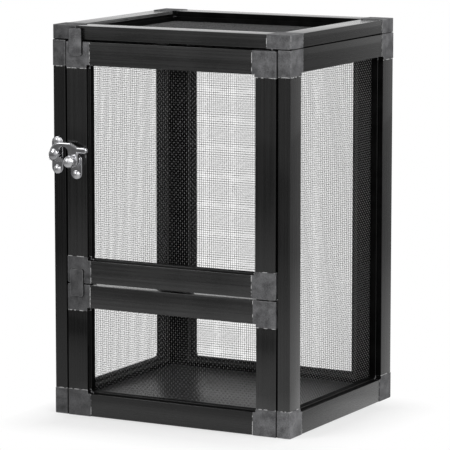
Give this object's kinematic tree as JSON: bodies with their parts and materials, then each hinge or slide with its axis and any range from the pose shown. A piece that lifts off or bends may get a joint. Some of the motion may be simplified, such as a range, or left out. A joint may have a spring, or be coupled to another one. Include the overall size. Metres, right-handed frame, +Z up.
{
  "type": "mesh reptile cage",
  "caption": "Upright cage of black aluminium rails with grey corner caps, fine mesh walls and lid, a solid floor, and a hinged front door with a chrome horn latch above a fixed lower panel.",
  "frame": {"origin": "bottom centre of the object's bounding box, with the latch at rest", "axes": "+Z up, -Y towards the viewer of the door, +X to the right with the hinge"},
  "size_m": [0.2078, 0.194, 0.305],
  "materials": {
    "black_anodised": "satin black anodised extrusion",
    "cap_plastic": "mottled matte moulding",
    "mesh_wire": "dark coated woven wire",
    "spline_rubber": "matte",
    "floor_plastic": "semi-gloss sheet",
    "dowel_plastic": "matte",
    "chrome": "bright chrome plate",
    "pin_steel": "bright drawn steel"
  },
  "bodies": {
    "cage": {"left_front_stile": "black_anodised", "left_back_stile": "black_anodised", "left_top_rail": "black_anodised", "left_bottom_rail": "black_anodised", "left_caps": "cap_plastic", "left_net": "mesh_wire", "left_spline": "spline_rubber", "right_front_stile": "black_anodised", "right_back_stile": "black_anodised", "right_top_rail": "black_anodised", "right_bottom_rail": "black_anodised", "right_caps": "cap_plastic", "right_net": "mesh_wire", "right_spline": "spline_rubber", "back_left_stile": "black_anodised", "back_right_stile": "black_anodised", "back_top_rail": "black_anodised", "back_bottom_rail": "black_anodised", "back_caps": "cap_plastic", "back_net": "mesh_wire", "back_spline": "spline_rubber", "lid_front_rail": "black_anodised", "lid_back_rail": "black_anodised", "lid_left_rail": "black_anodised", "lid_right_rail": "black_anodised", "lid_caps": "cap_plastic", "lid_net": "mesh_wire", "lid_spline": "spline_rubber", "lower_left_stile": "black_anodised", "lower_right_stile": "black_anodised", "lower_top_rail": "black_anodised", "lower_bottom_rail": "black_anodised", "lower_caps": "cap_plastic", "lower_net": "mesh_wire", "lower_spline": "spline_rubber", "floor_base": "floor_plastic", "top_dowels": "dowel_plastic", "back_dowels": "dowel_plastic", "lower_dowels": "dowel_plastic", "hinge_washer": "dowel_plastic", "keeper_plate": "chrome", "keeper_cup": "chrome", "keeper_rivets": "chrome"},
    "door": {"door_latch_stile": "black_anodised", "door_hinge_stile": "black_anodised", "door_top_rail": "black_anodised", "door_bottom_rail": "black_anodised", "door_hinge_caps": "cap_plastic", "door_top_stop_cap": "cap_plastic", "door_bottom_stop_cap": "cap_plastic", "door_net": "mesh_wire", "door_spline": "spline_rubber", "hinge_pin_top": "pin_steel", "hinge_pin_bottom": "pin_steel", "latch_plate": "chrome", "latch_rivet": "chrome", "latch_post": "chrome"},
    "horn": {"latch_horn": "chrome"}
  },
  "joints": [
    {"name": "door_hinge", "type": "hinge", "parent": "cage", "child": "door", "pos_m": [0.0856, -0.0776, 0.2], "axis": [0, 0, 1], "range_deg": [0, 110]},
    {"name": "latch_swing", "type": "hinge", "parent": "door", "child": "horn", "pos_m": [-0.082, -0.0861, 0.2006], "axis": [0, 1, 0], "range_deg": [0, 100]}
  ]
}
